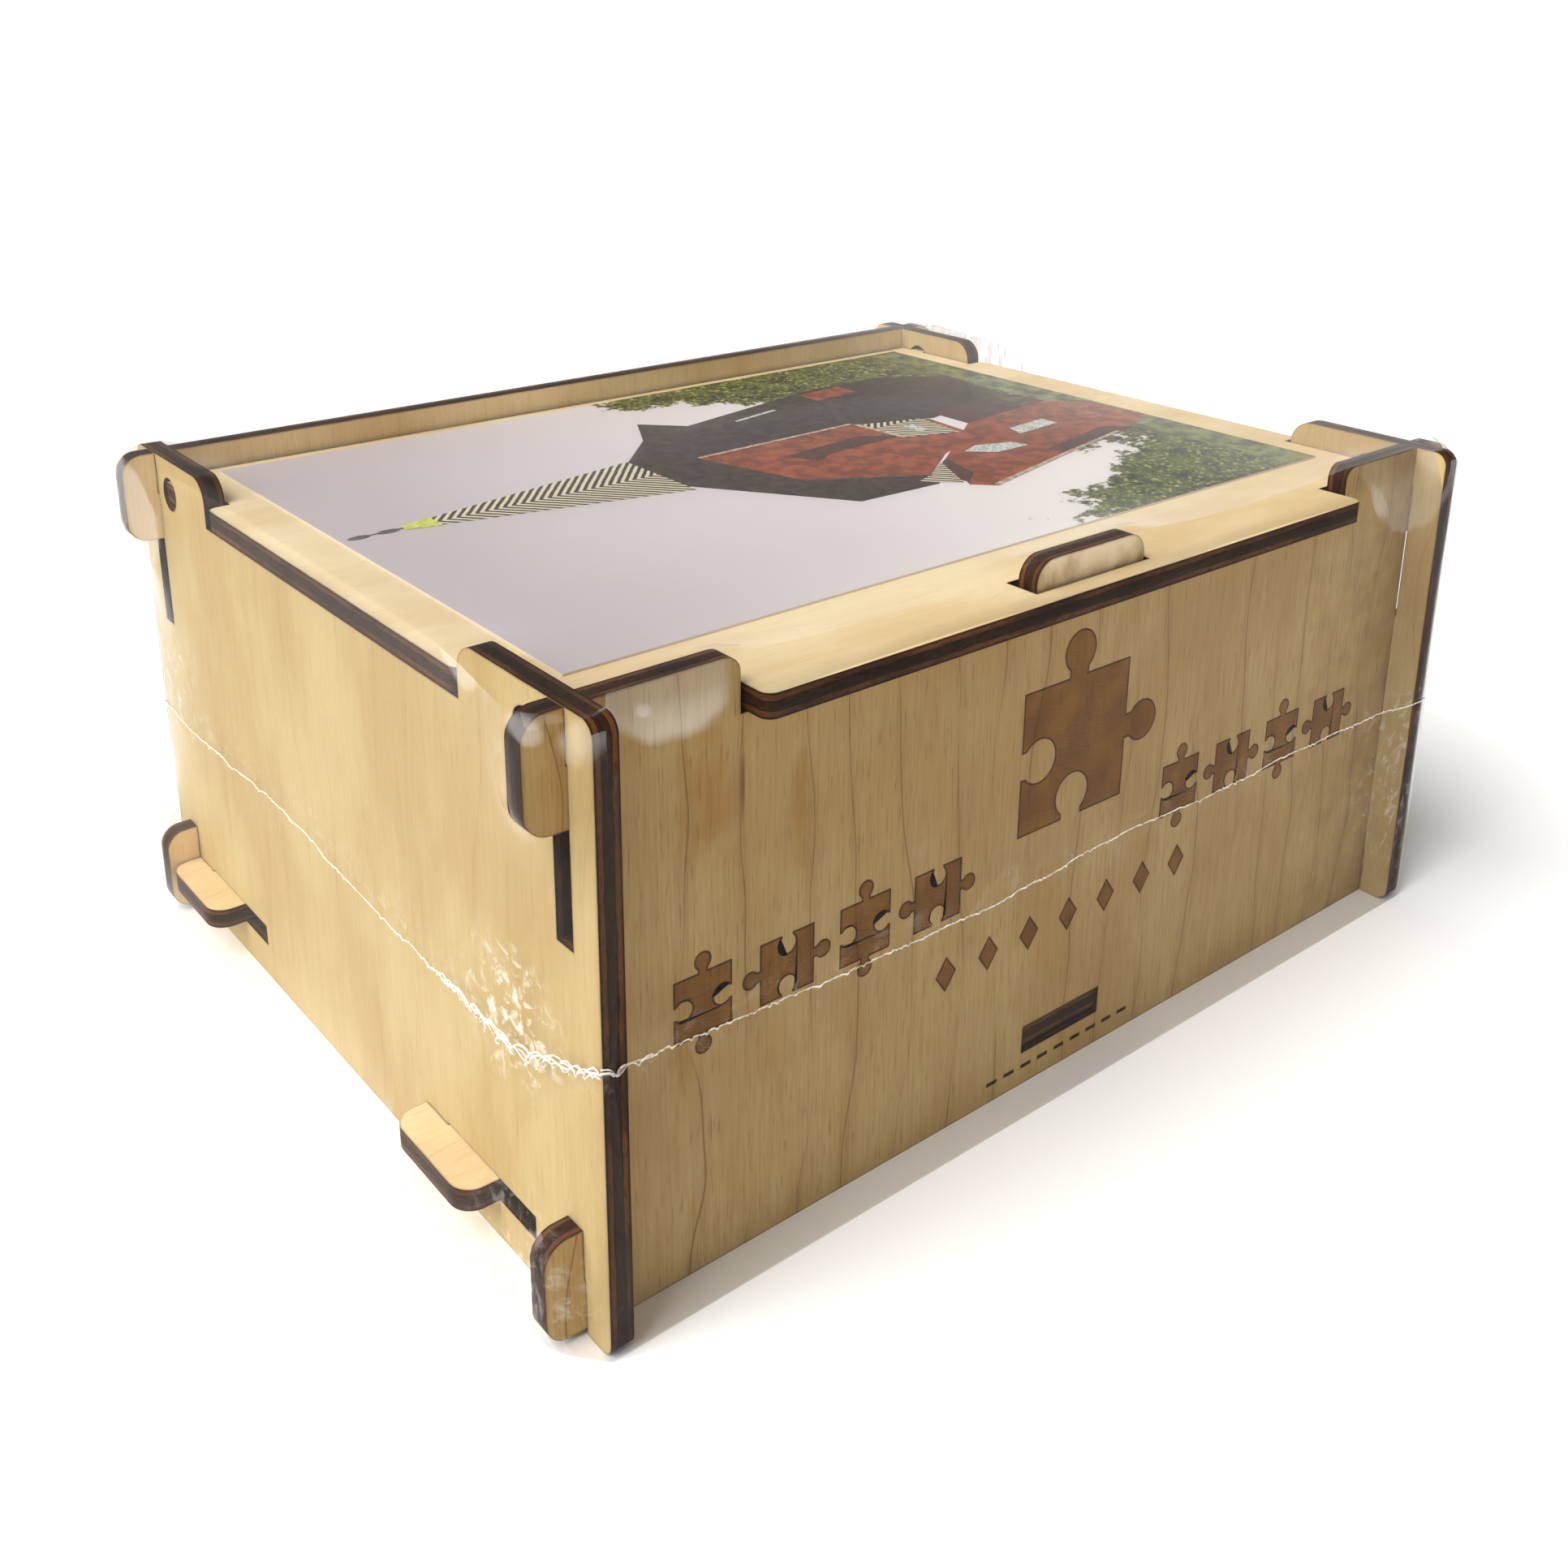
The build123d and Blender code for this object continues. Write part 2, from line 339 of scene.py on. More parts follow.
def stainedAndPaintedLight(tree, position, grainVector, face, spots):
    # lays the listed spots on the face: real stains, and patches of painted highlight and painted shade
    rough = noise(tree, grainVector, 0.3, 3.0)
    for spot in spots:
        size = spot["size"]
        reach = plus(tree, distanceTo(tree, position, spot), times(tree, rough, size * 0.9))
        mask = ramp(tree, reach, size * 0.5, size * 1.4, spot["strength"], 0.0)
        face = mixColour(tree, mask, face, spot["tone"], spot.get("blend", "MULTIPLY"))
    return face


def printedFace(tree, position, face):
    # the upper side of a jigsaw piece carries its part of the picture
    pick = tree.nodes.new("ShaderNodeObjectInfo").outputs["Random"]
    blot = noise(tree, position, 0.09, 3.0)
    clumps = ramp(tree, noise(tree, position, 0.9, 4.0, 0.7), 0.4, 0.62)
    leaves = mixColour(tree, clumps, colour(38, 44, 24), colour(128, 140, 66))
    courses = ramp(tree, noise(tree, position, 0.7, 3.0), 0.4, 0.6)
    brick = mixColour(tree, courses, colour(150, 66, 44), colour(104, 44, 32))
    sky = mixColour(tree, blot, colour(196, 190, 202), colour(222, 220, 226))
    part = plus(tree, pick, times(tree, blot, 0.3))
    tone = mixColour(tree, ramp(tree, part, 0.68, 0.72), sky, leaves)
    tone = mixColour(tree, ramp(tree, part, 1.0, 1.04), tone, brick)
    upward = ramp(tree, facingAlong(tree, 2), 0.6, 0.9)
    return mixColour(tree, upward, face, tone)


# faceAxis is the axis through the sheet, grainAxis the way the grain runs.
def plywoodLook(name, faceAxis, grainAxis, seed, figure, middle=None, tint=(1, 1, 1, 1), stainsAndPaintedLight=(),
                layerHeight=None, printed=False):
    material, tree, out = newMaterial(name)
    shader = principled(tree, out)
    shader.inputs["Specular IOR Level"].default_value = woodSpecular
    position = millimetres(tree)
    axes = separate(tree, position)
    acrossAxis = 3 - faceAxis - grainAxis
    grainVector = combine(tree, axes[acrossAxis], axes[faceAxis], axes[grainAxis])
    wood = useGroup(tree, veneerGroup, Vector=grainVector, Seed=seed, Figure=figure)
    facing = mathNode(tree, "ABSOLUTE", facingAlong(tree, faceAxis))
    layer = layerOf(tree, axes[faceAxis], middle, layerHeight)
    stretch = [0.55, 0.55, 0.55]
    stretch[faceAxis] = 1.9
    charVector = vectorMath(tree, "MULTIPLY", position, tuple(stretch))
    cut = useGroup(tree, burntGroup, Vector=charVector, Layer=layer)
    scorch = useGroup(tree, scorchGroup, Vector=position)
    face = mixColour(tree, 1.0, wood["Color"], tint, "MULTIPLY")
    if stainsAndPaintedLight:
        face = stainedAndPaintedLight(tree, position, grainVector, face, stainsAndPaintedLight)
    if printed:
        face = printedFace(tree, position, face)
    face = mixColour(tree, times(tree, scorch["Mask"], 0.75), face, burnt["scorch"])
    edgeMask = ramp(tree, facing, 0.45, 0.75, 1.0, 0.0)
    tree.links.new(mixColour(tree, edgeMask, face, cut["Color"]), shader.inputs["Base Color"])
    faceRough = ramp(tree, wood["Height"], 0.0, 1.0, 0.42, 0.6)
    tree.links.new(plus(tree, faceRough, times(tree, edgeMask, 0.08)), shader.inputs["Roughness"])
    cutHeight = times(tree, times(tree, cut["Height"], edgeMask), 2.0)
    height = plus(tree, times(tree, wood["Height"], 0.5), cutHeight)
    tree.links.new(bump(tree, height, 0.06 * mm, 0.7), shader.inputs["Normal"])
    return material


def middleOf(node, axis):
    low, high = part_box(node)
    return (low[axis] + high[axis]) / 2


def frontStainOrLightSpot(x, z, stretch, size, strength, tone, **more):
    return {"at": (x, frontFace / mm, z), "stretch": stretch, "size": size, "strength": strength,
            "tone": colour(*tone), **more}


# Marks on the front panel: brown smoke stains at its left, a painted highlight on its middle tongue and
# painted shade at its right.
# A tone darkens the wood under it, unless its blend says otherwise.
frontStainsAndPaintedLight = [
    frontStainOrLightSpot(-60.0, 61.0, (1.0, 1.0, 0.5), 7.0, 0.7, (226, 192, 124)),
    frontStainOrLightSpot(-47.0, 56.0, (1.6, 1.0, 0.35), 4.0, 0.6, (226, 203, 138)),
    frontStainOrLightSpot(-55.0, 61.0, (7.0, 1.0, 0.4), 3.4, 0.8, (172, 134, 82)),
    frontStainOrLightSpot(-63.0, 33.0, (1.4, 1.0, 0.3), 4.0, 0.5, (226, 203, 138)),
    # painted highlight: the middle tongue mixed paler, as if lit
    frontStainOrLightSpot(0.0, 76.0, (0.35, 1.0, 1.0), 8.0, 1.0, (252, 232, 200), blend="MIX"),
    # painted shade: the right end of the front darkened
    frontStainOrLightSpot(86.0, 45.0, (1.0, 1.0, 0.35), 40.0, 0.7, (190, 182, 170)),
]


def panelLook(node, name, faceAxis, grainAxis, seed, figure, *more):
    return plywoodLook(name, faceAxis, grainAxis, seed, figure, middleOf(node, faceAxis), *more)


looks = {
    "side_panel_left": ("plywoodLeft", 0, 2, 1.0, 0.25, veneer["clear"]),
    "side_panel_right": ("plywoodRight", 0, 2, 2.0, 0.3, veneer["clear"]),
    "front_panel": ("plywoodFront", 1, 2, 3.0, 1.0, veneer["brown"], frontStainsAndPaintedLight),
    # the back's tint paints light on its shaded inner face
    "back_panel": ("plywoodBack", 1, 2, 4.0, 0.25, veneer["paintedLightBack"]),
    "floor_panel": ("plywoodFloor", 2, 0, 5.0, 0.2),
    "lid": ("plywoodLid", 2, 0, 6.0, 0.12),
}
pieceLook = plywoodLook("plywoodPieces", 2, 0, 7.0, 0.5, layerHeight=floorHigh.z, printed=True)


def dress(node, material):
    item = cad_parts[node]
    for slot in item.material_slots:
        slot.material = material
    if not item.material_slots:
        item.data.materials.append(material)


for node, look in looks.items():
    dress(node, panelLook(node, *look))
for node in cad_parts:
    if node.startswith("puzzle_piece"):
        dress(node, pieceLook)
print("plywood dressed")


# Mesh helpers
def meshObject(name, vertices, faces, materials, body, indices=None, smooth=False):
    mesh = bpy.data.meshes.new(name)
    mesh.from_pydata([tuple(v) for v in vertices], [], faces)
    for material in materials:
        mesh.materials.append(material)
    if indices:
        mesh.polygons.foreach_set("material_index", indices)
    if smooth:
        mesh.polygons.foreach_set("use_smooth", [True] * len(mesh.polygons))
    mesh.update()
    item = bpy.data.objects.new(name, mesh)
    bpy.context.scene.collection.objects.link(item)
    if body:
        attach(item, body)
    return item


def arc(cx, cy, radius, start, end, steps):
    turns = [math.radians(start + (end - start) * i / steps) for i in range(steps + 1)]
    return [(cx + radius * math.cos(turn), cy + radius * math.sin(turn)) for turn in turns]


def jigsawOutline(size, knobs):
    # knobs, from the bottom edge round to the left: 1 stands out, -1 goes in
    half = size / 2
    radius = size * 0.15
    neck = size * 0.09
    rise = math.sqrt(radius**2 - neck**2)
    spread = math.degrees(math.asin(neck / radius))
    points = []
    for side, knob in enumerate(knobs):
        edge = [(-half, 0.0), (-neck, 0.0)]
        edge += arc(0, rise + neck * 0.5, radius, 270 - spread, -90 + spread, 16)
        edge.append((neck, 0.0))
        turn = math.radians(90 * side)
        for x, out in edge:
            y = -half - out * knob
            points.append((x * math.cos(turn) - y * math.sin(turn), x * math.sin(turn) + y * math.cos(turn)))
    return points


# Burnt motif on the front
# A row of jigsaw pieces either side of one large piece, with small lozenges under it.
motif = {
    "rowBottom": 30.2, "rowTop": 41.0, "leftPieces": (-60.5, -48.6, -36.7, -24.8),
    "rightPieces": (22.0, 33.9, 45.8, 57.7), "bigSize": 20.0, "bigHeight": 48.5, "bigX": -1.0,
    "lozenges": 7, "lozengeStep": 7.6, "lozengeHeight": 23.6, "lozengeSize": 2.6,
    "pieceShare": 0.74, "lozengeWidth": 0.7,
    "dashes": 9, "dashStep": 3.3, "dashHeight": 2.9, "dashHalf": (1.0, 0.3),
    "lift": 0.02, "rim": 0.28,
}


def engravingLook(name, tone, grain):
    material, tree, out = newMaterial(name)
    shader = principled(tree, out)
    shader.inputs["Specular IOR Level"].default_value = woodSpecular
    position = millimetres(tree)
    wood = useGroup(tree, veneerGroup, Vector=position, Seed=3.0, Figure=1.0)
    uneven = noise(tree, position, 0.22, 3.0)
    burn = mixColour(tree, ramp(tree, uneven, 0.35, 0.7), tone, grain)
    burn = mixColour(tree, 1.0, burn, veneer["brown"], "MULTIPLY")
    tree.links.new(mixColour(tree, 1.0, wood["Color"], burn, "MULTIPLY"), shader.inputs["Base Color"])
    tree.links.new(ramp(tree, uneven, 0.0, 1.0, 0.6, 0.8), shader.inputs["Roughness"])
    scan = mathNode(tree, "SINE", times(tree, separate(tree, position)[2], 26.0))
    tree.links.new(bump(tree, scan, 0.02 * mm, 0.4), shader.inputs["Normal"])
    return material


def makeMotif():
    outlines = []
    size = (motif["rowTop"] - motif["rowBottom"]) * motif["pieceShare"]
    rowHeight = (motif["rowTop"] + motif["rowBottom"]) / 2
    for number, x in enumerate(motif["leftPieces"] + motif["rightPieces"]):
        knobs = [(1, -1, 1, -1), (-1, 1, -1, 1)][number % 2]
        outlines.append([(x + a, rowHeight + b) for a, b in jigsawOutline(size, knobs)])
    outlines.append([(motif["bigX"] + a, motif["bigHeight"] + b)
                     for a, b in jigsawOutline(motif["bigSize"], (-1, 1, 1, -1))])
    for number in range(motif["lozenges"]):
        x = (number - (motif["lozenges"] - 1) / 2) * motif["lozengeStep"]
        r = motif["lozengeSize"]
        half = r * motif["lozengeWidth"]
        z = motif["lozengeHeight"]
        outlines.append([(x - half, z), (x, z - r), (x + half, z), (x, z + r)])
    work = bmesh.new()
    y = frontFace - motif["lift"] * mm
    for outline in outlines:
        face = work.faces.new([work.verts.new((a * mm, y, b * mm)) for a, b in outline])
        face.normal_update()
        if face.normal.y > 0:
            face.normal_flip()
        wall = bmesh.ops.inset_region(work, faces=[face], thickness=motif["rim"] * mm,
                                      use_boundary=True, use_even_offset=True)
        for ring in wall["faces"]:
            ring.material_index = 1
    for number in range(motif["dashes"]):
        x = (number - (motif["dashes"] - 1) / 2) * motif["dashStep"]
        z = motif["dashHeight"]
        long, tall = motif["dashHalf"]
        corners = [(x - long, z - tall), (x + long, z - tall), (x + long, z + tall), (x - long, z + tall)]
        line = work.faces.new([work.verts.new((a * mm, y, b * mm)) for a, b in corners])
        line.material_index = 2
    bmesh.ops.triangulate(work, faces=work.faces)
    mesh = bpy.data.meshes.new("burntMotif")
    work.to_mesh(mesh)
    work.free()
    mesh.materials.append(engravingLook("engravedFill", colour(166, 134, 84), colour(192, 162, 108)))
    mesh.materials.append(engravingLook("engravedRim", colour(112, 80, 42), colour(130, 98, 56)))
    mesh.materials.append(engravingLook("engravedLine", colour(74, 50, 32), colour(92, 64, 42)))
    item = bpy.data.objects.new("burntMotif", mesh)
    bpy.context.scene.collection.objects.link(item)
    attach(item, "box")


makeMotif()
print("motif made")


# Picture on the lid
# A country house with a pointed tower, seen with its sky towards the left end of the lid.
# Up in the picture is -X of the box; across in the picture is Y.
def printFinish(tree, out, tone, grain):
    # satin print with the paper's fine grain
    shader = principled(tree, out)
    tree.links.new(tone, shader.inputs["Base Color"])
    tree.links.new(ramp(tree, grain, 0.0, 1.0, 0.34, 0.42), shader.inputs["Roughness"])
    tree.links.new(bump(tree, grain, 0.01 * mm, 0.3), shader.inputs["Normal"])


def pictureLook():
    material, tree, out = newMaterial("lidPicture")
    position = millimetres(tree)
    x, y = separate(tree, position)[:2]
    haze = noise(tree, position, 0.02, 2.0)
    paling = ramp(tree, plus(tree, x, times(tree, haze, 30.0)), -60.0, 50.0)
    sky = mixColour(tree, paling, colour(184, 173, 176), colour(222, 215, 212))
    # tree line: ragged edge of the leaves, deeper at the back and along the right end
    ragged = noise(tree, position, 0.16, 6.0, 0.68)
    deepBack = ramp(tree, y, 18.0, 50.0, 0.0, 50.0)
    deepFront = ramp(tree, y, -24.0, -40.0, 0.0, 26.0)
    line = plus(tree, plus(tree, x, deepBack), deepFront)
    line = plus(tree, line, times(tree, minus(tree, ragged, 0.5), 60.0))
    leavesMask = ramp(tree, line, 47.0, 50.0)
    clumps = noise(tree, position, 0.22, 5.0, 0.7)
    fine = noise(tree, position, 1.1, 3.0, 0.7)
    leaves = mixColour(tree, ramp(tree, clumps, 0.38, 0.62), colour(30, 34, 16), colour(84, 94, 40))
    leaves = mixColour(tree, ramp(tree, fine, 0.5, 0.7, 0.0, 0.85), leaves, colour(188, 184, 98))
    grass = mixColour(tree, ramp(tree, clumps, 0.4, 0.6), colour(120, 128, 62), colour(58, 62, 28))
    lawn = ramp(tree, plus(tree, x, times(tree, clumps, 6.0)), 63.5, 65.0)
    leaves = mixColour(tree, lawn, leaves, grass)
    picture = mixColour(tree, leavesMask, sky, leaves)
    upward = ramp(tree, facingAlong(tree, 2), 0.5, 0.9)
    picture = mixColour(tree, upward, colour(214, 206, 196), picture)
    printFinish(tree, out, picture, fine)
    return material


def inkLook(name, dark, light, scale, stripes=None):
    # printed areas with a fine texture, such as shingles or bricks
    material, tree, out = newMaterial(name)
    position = millimetres(tree)
    x, y = separate(tree, position)[:2]
    grain = noise(tree, position, scale, 4.0, 0.65)
    mask = ramp(tree, grain, 0.4, 0.62)
    if stripes:
        wobble = times(tree, grain, stripes["wobble"])
        fromRidge = mathNode(tree, "ABSOLUTE", minus(tree, y, stripes["ridge"]))
        lean = times(tree, fromRidge, stripes["lean"])
        run = plus(tree, plus(tree, x, lean), wobble)
        wave = mathNode(tree, "SINE", times(tree, run, 2 * math.pi / stripes["pitch"]))
        mask = ramp(tree, wave, -0.25, 0.35)
    printFinish(tree, out, mixColour(tree, mask, dark, light), grain)
    return material


def oval(x, y, halfLength, halfWidth, steps=12):
    turns = [math.tau * k / steps for k in range(steps)]
    return [(x + halfLength * math.cos(turn), y + halfWidth * math.sin(turn)) for turn in turns]


# flat shapes in millimetres, each kind with its own ink, the later ones on top
house = {
    "slate": [
        [(-18, 18), (-9, 27), (-4, 36), (2, 30), (34, 37), (50, 37), (62, 30), (60, 14), (38, 9),
         (24, 13), (-8, 13)],
        [(-22, 8), (-18, 18), (-8, 13), (-3, -5), (14, -15), (12, -19), (-3, -18.5)],
    ],
    "brick": [
        [(-8, 13), (24, 14), (37, 9), (36, -3), (24, -8), (14, -15), (-3, -5)],
        [(15, -22), (22, -10), (40, 3), (62, 6), (68, 0), (68, -12), (56, -16), (38, -20), (18, -25)],
        [(30, 30), (40, 31), (40, 36), (30, 35)],
    ],
    "brickShade": [
        [(3, 6), (20, 8), (26, 4), (10, 3), (6, 1)],
        [(40, 12), (60, 14), (62, 6), (40, 3)],
        [(38, -16), (56, -12), (60, -15), (40, -19)],
        [(14, -15), (22, -10), (20, -18), (16, -21)],
    ],
    "shingle": [
        [(-55, 8.5), (-55, 12.0), (-18, 18.4), (-18, 0.4)],
        [(24, 13.5), (36, 10), (35, 0), (25, 3)],
        [(10, -16.5), (14, -15), (20, -11), (15, -21)],
    ],
    "ridgeDark": [
        [(-55, 8.5), (-58, 9.4), (-58, 11.0), (-55, 12.0)],
        [(-3, -5), (14, -15), (14, -15.8), (-3, -6.2)],
    ],
    "finial": [
        [(-67.5, 10.1), (-58, 10.0), (-58, 10.5), (-67.5, 10.35)],
        oval(-61.6, 10.2, 1.7, 0.8),
        oval(-65.8, 10.2, 1.6, 0.75),
    ],
    "copper": [[(-59.4, 9.4), (-54.5, 8.1), (-54.5, 12.4), (-59.4, 11.0)]],
    "window": [
        [(27, -9), (31, -12.5), (38, -12.5), (37, -9.5), (31, -7.5)],
        [(42, -7), (52, -6), (52, -2.5), (43, -3.5)],
        [(10, 27), (20, 29), (20, 29.8), (10, 27.8)],
        [(30, 8), (32, 8), (32, 4), (30, 4)],
    ],
    "trim": [
        [(-8, 13), (24, 14), (24, 14.8), (-8, 13.8)],
        [(18, -25), (38, -20), (56, -16), (56, -15.2), (38, -19.2), (18, -24)],
        [(24, 13.5), (25, 3), (26, 3), (25, 13.5)],
        [(46, -7), (46.5, -7), (46.5, -3), (46, -3)],
    ],
}
inks = {
    "slate": inkLook("inkSlate", colour(42, 31, 24), colour(70, 54, 42), 0.5),
    "brick": inkLook("inkBrick", colour(112, 52, 28), colour(152, 78, 42), 0.35),
    "brickShade": inkLook("inkBrickShade", colour(58, 34, 28), colour(92, 50, 36), 1.2),
    "shingle": inkLook("inkShingle", colour(48, 40, 34), colour(214, 200, 172), 0.6,
                       {"pitch": 1.45, "wobble": 0.4, "lean": -0.9, "ridge": 10.0}),
    "ridgeDark": inkLook("inkRidge", colour(52, 48, 42), colour(84, 78, 66), 1.0),
    "finial": inkLook("inkFinial", colour(58, 56, 54), colour(92, 88, 82), 1.0),
    "copper": inkLook("inkCopper", colour(176, 186, 60), colour(206, 212, 96), 1.0),
    "window": inkLook("inkWindow", colour(206, 208, 200), colour(150, 156, 150), 1.6),
    "trim": inkLook("inkTrim", colour(196, 178, 156), colour(150, 118, 96), 1.2),
}


# each kind of shape lies a hair above the one before, in millimetres
inkStep = 0.006
shapeStep = 0.001


def makePicture():
    dress("lid_print", pictureLook())
    vertices, faces, indices = [], [], []
    for layer, (kind, shapes) in enumerate(house.items()):
        for number, shape in enumerate(shapes):
            height = printHigh.z + (inkStep * (1 + layer) + shapeStep * number) * mm
            start = len(vertices)
            vertices += [(x * mm, y * mm, height) for x, y in shape]
            faces.append(list(range(start, len(vertices))))
            indices.append(layer)
    item = meshObject("lidPictureHouse", vertices, faces, [inks[kind] for kind in house], "lid",
                      indices)
    work = bmesh.new()
    work.from_mesh(item.data)
    for face in work.faces:
        face.normal_update()
        if face.normal.z < 0:
            face.normal_flip()
    bmesh.ops.triangulate(work, faces=work.faces)
    work.to_mesh(item.data)
    work.free()


makePicture()
print("picture made")


# Clear film
# Sizes are in millimetres; alongFront, alongSide and rows count mesh steps, and the two kinds of rounds
# count steps of relaxing. proud is how far the film stands off the panels, and each pair is where a hook
# starts and ends.
film = {
    "proud": 0.18, "seamHeight": 35.5, "baseLift": 0.35, "cornerRound": 2.0,
    "alongFront": 96, "alongSide": 84, "rows": 46,
    "hookHalf": 2.2, "hookRound": 3.0, "hookEase": 0.4,
    "hookHeights": ((boxTop / mm - 13.2, boxTop / mm), (0.8, 14.0)),
    "floorHookSpans": ((-39.4, -21.2), (36.7, 54.9)), "floorHookEnd": 0.8, "floorHookHeights": (4.8, 9.4),
    "frontDip": 1.3, "flapHeight": 68.0, "flapLean": 4.85, "flapEdge": 1.5, "flapEase": 3.0,
    "earSag": 1.0, "earEnd": 36.0, "gapMiddle": 32.5, "gapHalf": 21.5, "gapSag": 0.8,
    "sideRounds": 900, "topRounds": 1500, "topPull": 0.0035,
    "earBand": 2.2, "sideEarStart": 36.3, "frontEarStart": 55.3, "tongueHalf": 10.0, "panelIn": 6.35,
    "overLid": 0.9, "hingeBend": 9.0,
}


def relax(lower, fixed, fixedValue, push, rounds):
    # a taut sheet held at fixed points, kept above lower, pulled by push
    sheet = np.where(fixed, fixedValue, lower)
    for _ in range(rounds):
        padded = np.pad(sheet, 1, mode="edge")
        average = (padded[:-2, 1:-1] + padded[2:, 1:-1] + padded[1:-1, :-2] + padded[1:-1, 2:]) / 4
        sheet = np.where(fixed, fixedValue, np.maximum(average - push, lower))
    return sheet


def smoothNoise(points, seed, scale):
    # sum of sines with set directions, the same at every run
    rng = np.random.default_rng(seed)
    total = np.zeros(len(points))
    for octave in range(7):
        direction = rng.normal(size=3)
        direction /= np.linalg.norm(direction)
        way = points @ direction * (0.6 + 0.5 * octave) / scale
        total += np.sin(way + rng.uniform(0, 6.28)) / (1 + 0.5 * octave)
    return total / 3


def edgesOf(shape):
    edges = np.zeros(shape, bool)
    edges[0, :] = edges[-1, :] = edges[:, 0] = edges[:, -1] = True
    return edges


def sideBulge(ys, zs):
    # how far the film stands off a side panel, pushed out by the panels' and the floor's hooks
    proud, rounded = film["proud"], film["hookRound"]
    yy, zz = np.meshgrid(ys, zs, indexing="ij")
    lower = np.full(yy.shape, proud)
    hookOut = (hookX - panelX) / mm
    hookMiddle = (abs(frontHigh.y) + abs(frontLow.y)) / 2 / mm
    for sign in (-1, 1):
        inHook = np.abs(yy * sign - hookMiddle) < film["hookHalf"]
        for low, high in film["hookHeights"]:
            rounding = np.clip(rounded - np.minimum(zz - low, high - zz), 0, rounded)
            reach = hookOut - rounded + np.sqrt(np.maximum(rounded**2 - rounding**2, 0))
            inside = inHook & (zz >= low - film["hookEase"]) & (zz <= high + film["hookEase"])
            lower = np.where(inside, np.maximum(lower, reach + proud), lower)
    end = film["floorHookEnd"]
    bottom, top = film["floorHookHeights"]
    for y0, y1 in film["floorHookSpans"]:
        inside = (yy > y0 + end) & (yy < y1 - end) & (zz > bottom) & (zz < top)
        lower = np.where(inside, hookOut + proud, lower)
    held = np.zeros(yy.shape, bool)
    held[0, :] = held[-1, :] = True
    return relax(lower, held, np.full(yy.shape, proud), 0.0, film["sideRounds"])


def frontInset(x, z):
    # the front film leans back over the lid's flap and the ears near the top
    px, top, flap = panelX / mm, boxTop / mm, film["flapHeight"]
    across = np.clip(1 - (np.abs(x) / px) ** 6, 0, 1)
    dip = film["frontDip"] * across * np.sin(np.pi * np.clip(z / flap, 0, 1)) ** 0.8
    near = np.clip((z - flap) / (top - flap), 0, 1)
    inside = np.clip((px - film["flapEdge"] - np.abs(x)) / film["flapEase"], 0, 1)
    return dip + film["flapLean"] * near**1.6 * inside


def cornerInset(z):
    rounded = film["cornerRound"]
    over = np.clip(z - (boxTop / mm - rounded), 0, rounded)
    return rounded - np.sqrt(rounded**2 - over**2 + 1e-9)


def rimHeight(x, y):
    # ears hold the film up, and between them it sags
    nearSide = np.abs(np.abs(x) - panelX / mm) < 8
    sideSag = np.where(nearSide, np.clip(1 - (y / film["earEnd"]) ** 2, 0, 1), 0)
    gap = np.clip(1 - ((np.abs(x) - film["gapMiddle"]) / film["gapHalf"]) ** 2, 0, 1)
    frontSag = np.where(y < -50, gap, 0)
    return boxTop / mm + film["proud"] - film["earSag"] * sideSag - film["gapSag"] * frontSag


def makeFilmShape():
    # rows of points round the box, from the bottom up
    px, py, proud = panelX / mm, panelY / mm, film["proud"]
    nx, ny = film["alongFront"], film["alongSide"]
    zs = np.linspace(film["baseLift"], boxTop / mm, film["rows"] + 1)
    bulge = sideBulge(np.linspace(-py, py, ny + 1), zs)
    xs = np.linspace(-px - proud, px + proud, nx + 1)
    rows = []
    for row, z in enumerate(zs):
        corner = cornerInset(z)
        yEdge = py + proud - corner
        frontY = -(py + proud) + np.maximum(frontInset(xs, z), corner)
        frontY[0] = frontY[-1] = -yEdge
        side = bulge[:, row]
        sideY = np.linspace(-1, 1, ny + 1) * yEdge
        loop = [(x, y) for x, y in zip(xs[:-1], frontY[:-1])]
        loop += [(px + b, y) for b, y in zip(side[:-1], sideY[:-1])]
        loop += [(x, -y) for x, y in zip(xs[::-1][:-1], frontY[::-1][:-1])]
        loop += [(-px - b, y) for b, y in zip(side[::-1][:-1], sideY[::-1][:-1])]
        plan = np.array(loop)
        rim = rimHeight(plan[:, 0], plan[:, 1])
        share = (z - zs[0]) / (zs[-1] - zs[0])
        heights = zs[0] + (rim - zs[0]) * share
        rows.append(np.column_stack([plan, heights]))
    return np.array(rows), nx, ny


